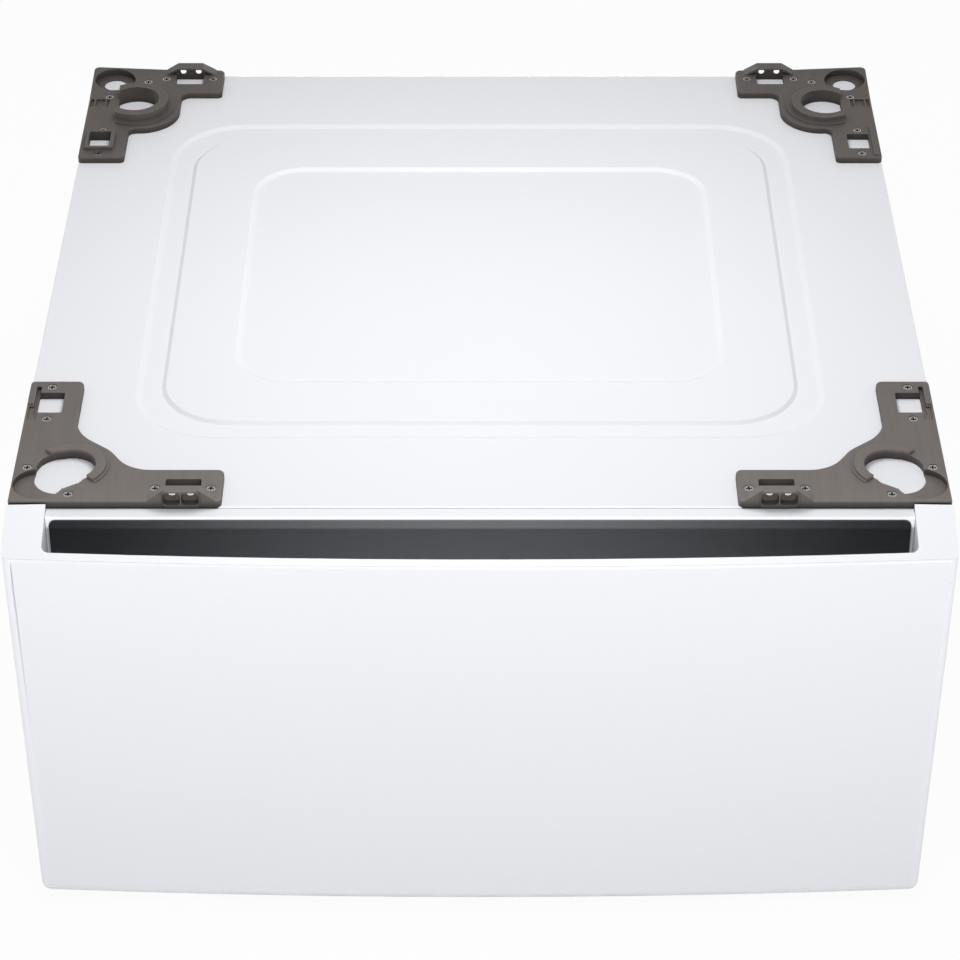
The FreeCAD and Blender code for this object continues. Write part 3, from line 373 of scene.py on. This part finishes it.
def blackPolymer(name):
    look = {**dust, **blacks[name]}
    f = Finish(name)
    spot = f.place()
    grain = f.noise(spot, look["grain"], roughness=look["crisp"])
    bloom = f.noise(spot, look["bloom"], detail=4.0)
    return f.surface({"Base Color": f.spread(bloom, look),
                      "Roughness": vary(look["rough"], look["bloomRough"], bloom),
                      "Normal": f.bump(grain, look)})


finishes = {"white_steel": whiteEnamel(), "white_plastic": whiteMoulding(), "taupe_plastic": taupePlastic(),
            "dark_trim": darkStrip(), "galvanised": galvanised(), "slide_steel": slideSteel(),
            "screw_steel": brightZinc(), "ball_steel": ballSteel(), "rubber": blackPolymer("footRubber"),
            "lever_plastic": blackPolymer("blackNylon")}
threaded = threadedZinc()
print("finishes:", len(finishes) + 1)


# Every CAD node takes the finish of its slot in the record, and the studs take the threaded one.
for entry in frame["record"]["subparts"]:
    name = entry["node"]
    materials = nodes[name].data.materials
    materials.clear()
    materials.append(threaded if name.endswith("foot_stud") else finishes[entry["material_slot"]])
print("finishes given to the CAD nodes")


def put(name, data):
    piece = bpy.data.objects.new(name, data)
    bpy.context.scene.collection.objects.link(piece)
    return piece


def putMesh(name, bm, material):
    mesh = bpy.data.meshes.new(name)
    bm.to_mesh(mesh)
    bm.free()
    mesh.materials.append(material)
    return put(name, mesh)


# The round under the drawer front: near both ends the frame's mesh is too coarse, so a fine bead fills it
# out there. The bow and the round are the front's own radii; near and far run along the bow from its middle.
edgeBead = {"bow": 5.974, "round": 0.008, "near": 0.2125, "far": 0.3352, "lift": 0.00003,
            "along": 24, "around": 12, "crease": 0.5}


def makeEdgeBead(name, side):
    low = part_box("drawer_front_panel")[0]
    middle = low[1] + edgeBead["bow"]
    top = low[2] + edgeBead["round"]
    radius = edgeBead["round"] + edgeBead["lift"]
    bm = bmesh.new()
    rows = []
    for i in range(edgeBead["along"] + 1):
        reach = edgeBead["near"] + (edgeBead["far"] - edgeBead["near"]) * i / edgeBead["along"]
        swing = side * reach / edgeBead["bow"]
        row = []
        for j in range(edgeBead["around"] + 1):
            turn = math.pi / 2 * j / edgeBead["around"]
            out = edgeBead["bow"] - edgeBead["round"] + radius * math.cos(turn)
            height = top - radius * math.sin(turn)
            row.append(bm.verts.new((out * math.sin(swing), middle - out * math.cos(swing), height)))
        rows.append(row)
    for near, far in zip(rows, rows[1:]):
        for k in range(edgeBead["around"]):
            bm.faces.new((near[k], far[k], far[k + 1], near[k + 1])).smooth = True
        bm.faces.new((near[0], near[-1], far[-1], far[0]))
    bm.faces.new(rows[0])
    bm.faces.new(rows[-1][::-1])
    bmesh.ops.recalc_face_normals(bm, faces=bm.faces[:])
    for edge in bm.edges:
        edge.smooth = edge.calc_face_angle() < edgeBead["crease"]
    bead = putMesh(name, bm, finishes["white_plastic"])
    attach(bead, "drawer")


makeEdgeBead("leftEdgeBead", -1.0)
makeEdgeBead("rightEdgeBead", 1.0)
print("lower edge of the drawer front made smooth")


# Floor: white to the camera, with the shadow let through.
stage = {"size": 14.0, "cells": 8, "lit": 0.55, "seen": 0.96, "cameraShare": 0.95,
         "cloud": 1.5, "cloudShare": 0.01}


def seenRays(f):   # 1 for the rays that should meet plain white
    kinds = ("Is Camera Ray", "Is Glossy Ray", "Is Transmission Ray")
    camera, glossy, through = (f.add("ShaderNodeLightPath", {}, {}, kind) for kind in kinds)
    return (camera + glossy + through).clamped()


def floorFinish():
    f = Finish("paleFloor")
    seen = seenRays(f)
    cloud = f.noise(f.place(), stage["cloud"])
    shade = stage["lit"] + (stage["seen"] - stage["lit"]) * seen - stage["cloudShare"] * cloud
    grey = f.add("ShaderNodeCombineColor", {}, {"Red": shade, "Green": shade, "Blue": shade})
    matt = f.add("ShaderNodeBsdfDiffuse", {}, {"Color": grey})
    glow = f.add("ShaderNodeEmission", {}, {"Color": (1.0, 1.0, 1.0, 1.0), "Strength": 1.0})
    both = f.add("ShaderNodeMixShader", {}, {0: seen * stage["cameraShare"], 1: matt, 2: glow})
    f.add("ShaderNodeOutputMaterial", {}, {"Surface": both})
    return f.material


def makeFloor():
    bm = bmesh.new()
    bmesh.ops.create_grid(bm, x_segments=stage["cells"], y_segments=stage["cells"], size=stage["size"] / 2)
    floor = putMesh("floor", bm, floorFinish())


makeFloor()


# Light: an even pale world, a soft box above, one above the front, and a far, low one on each side.
studio = {"world": 0.35,
          "boxes": [("above", (0.0, -0.04, 1.15), (0.0, -0.04, 0.3), (0.4, 0.4), 4.2),
                    ("fore", (0.0, -1.0, 1.4), (0.0, -0.36, 0.2), (0.5, 0.3), 3.6),
                    ("front", (0.0, -6.0, 0.3), (0.0, -0.36, 0.3), (2.0, 0.25), 178.0),
                    ("rear", (0.0, 6.0, 0.2), (0.0, 0.36, 0.2), (2.0, 0.2), 130.0),
                    ("left", (-6.0, 0.0, 0.3), (-0.35, 0.0, 0.3), (2.0, 0.25), 110.0),
                    ("right", (6.0, 0.0, 0.3), (0.35, 0.0, 0.3), (2.0, 0.25), 110.0)]}


def makeLight():
    world = bpy.data.worlds.new("studio")
    bpy.context.scene.world = world
    world.use_nodes = True
    sky = Finish("sky", world.node_tree)
    level = studio["world"] + (1.0 - studio["world"]) * seenRays(sky)
    white = sky.add("ShaderNodeBackground", {}, {"Color": (1.0, 1.0, 1.0, 1.0), "Strength": level})
    sky.add("ShaderNodeOutputWorld", {}, {"Surface": white})
    for name, spot, aim, size, power in studio["boxes"]:
        lamp = bpy.data.lights.new(name, "AREA")
        lamp.shape = "RECTANGLE"
        lamp.size, lamp.size_y = size
        lamp.energy = power
        holder = put(name, lamp)
        holder.location = spot
        holder.rotation_euler = (Vector(aim) - Vector(spot)).to_track_quat("-Z", "Y").to_euler()


makeLight()


# Camera: fitted to the photograph's edges.
shot = {"spot": (0.0, -2.19863, 1.72701), "tilt": 54.441, "focal": 120.08, "sensor": 36.0, "sight": 50.0}


def makeCamera():
    data = bpy.data.cameras.new("camera")
    data.sensor_width = shot["sensor"]
    data.lens = shot["focal"]
    data.clip_end = shot["sight"]
    camera = put("camera", data)
    camera.location = shot["spot"]
    camera.rotation_euler = (math.radians(shot["tilt"]), 0.0, 0.0)
    bpy.context.scene.camera = camera


makeCamera()
bpy.context.scene.view_settings.view_transform = "Standard"
print("floor, light and camera ready")
